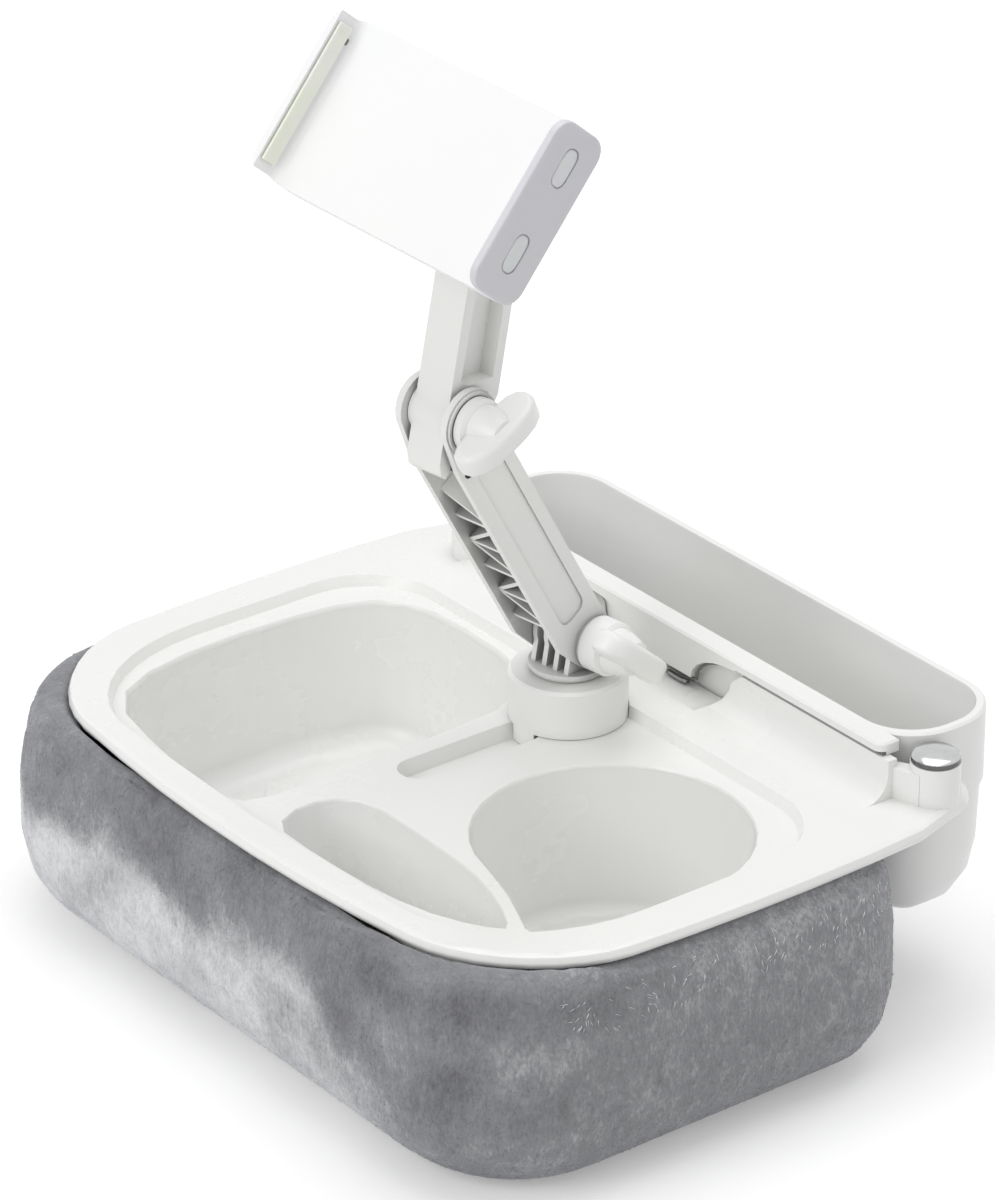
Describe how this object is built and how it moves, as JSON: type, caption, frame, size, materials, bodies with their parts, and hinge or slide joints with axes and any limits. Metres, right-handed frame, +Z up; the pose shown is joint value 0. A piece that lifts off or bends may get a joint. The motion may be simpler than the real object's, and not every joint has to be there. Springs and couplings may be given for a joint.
{
  "type": "tablet cushion stand",
  "caption": "Plush lap cushion with a moulded compartment tray, a hang-on caddy and a folding arm with a sprung tablet clamp.",
  "frame": {"origin": "centre of the overall box, on the floor under the cushion", "axes": "+Z up, +Y towards the hanging caddy, +X to the right of a person who sits in front of the tray"},
  "size_m": [0.326, 0.268, 0.3718],
  "materials": {
    "white_plastic": "glossy white moulding",
    "arm_plastic": "satin white moulding",
    "plush_grey": "short grey plush pile",
    "chrome": "polished",
    "steel": "plain turned steel",
    "nylon": "natural nylon",
    "silicone_ivory": "soft ivory silicone",
    "rubber_lavender": "matt pale lavender",
    "black_steel": "blackened"
  },
  "bodies": {
    "base": {"cushion": "plush_grey", "tray": "white_plastic", "caddy": "white_plastic", "post_cap": "chrome", "arm_socket": "white_plastic", "swivel_axle": "steel", "swivel_washer": "nylon"},
    "swivel": {"turntable": "arm_plastic"},
    "lower_link": {"lower_arm": "arm_plastic", "lower_bolt": "steel", "lower_nut_cap": "white_plastic", "elbow_bolt": "steel", "elbow_nut_cap": "white_plastic", "stop_pin": "black_steel"},
    "lower_knob": {"lower_wing_knob": "white_plastic"},
    "elbow_knob": {"elbow_wing_knob": "white_plastic"},
    "upper_link": {"upper_arm": "arm_plastic", "head_bolt": "steel", "head_nut_cap": "white_plastic"},
    "head_knob": {"head_wing_knob": "white_plastic"},
    "head": {"tilt_head": "arm_plastic"},
    "clamp": {"clamp_body": "white_plastic", "clamp_cover": "arm_plastic", "cover_screw_1": "steel", "cover_screw_2": "steel", "cover_screw_3": "steel", "cover_screw_4": "steel", "lip_pad": "silicone_ivory", "guide_rod_1": "steel", "guide_rod_2": "steel", "jaw_spring_1": "steel", "jaw_spring_2": "steel", "swivel_screw": "steel"},
    "jaw": {"sliding_jaw": "rubber_lavender", "jaw_pad": "silicone_ivory"}
  },
  "joints": [
    {"name": "arm_swivel", "type": "hinge", "parent": "base", "child": "swivel", "pos_m": [0, 0.03, 0.109], "axis": [0, 0, 1], "range_deg": [-175, 175]},
    {"name": "lower_fold", "type": "hinge", "parent": "swivel", "child": "lower_link", "pos_m": [-0.00011, 0.03079, 0.1225], "axis": [0.9903, 0.1392, 0], "range_deg": [-60, 40]},
    {"name": "lower_knob_turn", "type": "hinge", "parent": "lower_link", "child": "lower_knob", "pos_m": [-0.00011, 0.03079, 0.1225], "axis": [0.9903, 0.1392, 0], "continuous": true},
    {"name": "elbow_fold", "type": "hinge", "parent": "lower_link", "child": "upper_link", "pos_m": [0.00884, -0.03292, 0.23304], "axis": [0.9903, 0.1392, 0], "range_deg": [-70, 6]},
    {"name": "elbow_knob_turn", "type": "hinge", "parent": "lower_link", "child": "elbow_knob", "pos_m": [0.00884, -0.03292, 0.23304], "axis": [0.9903, 0.1392, 0], "continuous": true},
    {"name": "head_tilt", "type": "hinge", "parent": "upper_link", "child": "head", "pos_m": [0.0062, -0.01411, 0.31733], "axis": [0.9903, 0.1392, 0], "range_deg": [-35, 33]},
    {"name": "head_knob_turn", "type": "hinge", "parent": "upper_link", "child": "head_knob", "pos_m": [0.0062, -0.01411, 0.31733], "axis": [0.9903, 0.1392, 0], "continuous": true},
    {"name": "clamp_swivel", "type": "hinge", "parent": "head", "child": "clamp", "pos_m": [0.0062, -0.01411, 0.31733], "axis": [0.1075, -0.7652, 0.6347], "continuous": true},
    {"name": "jaw_slide", "type": "slide", "parent": "clamp", "child": "jaw", "axis": [0.9941, 0.0894, -0.0606], "range_m": [0, 0.03], "stiffness_N_per_m": 250, "springref_m": -0.012, "deforming": ["jaw_spring_1", "jaw_spring_2"]}
  ]
}
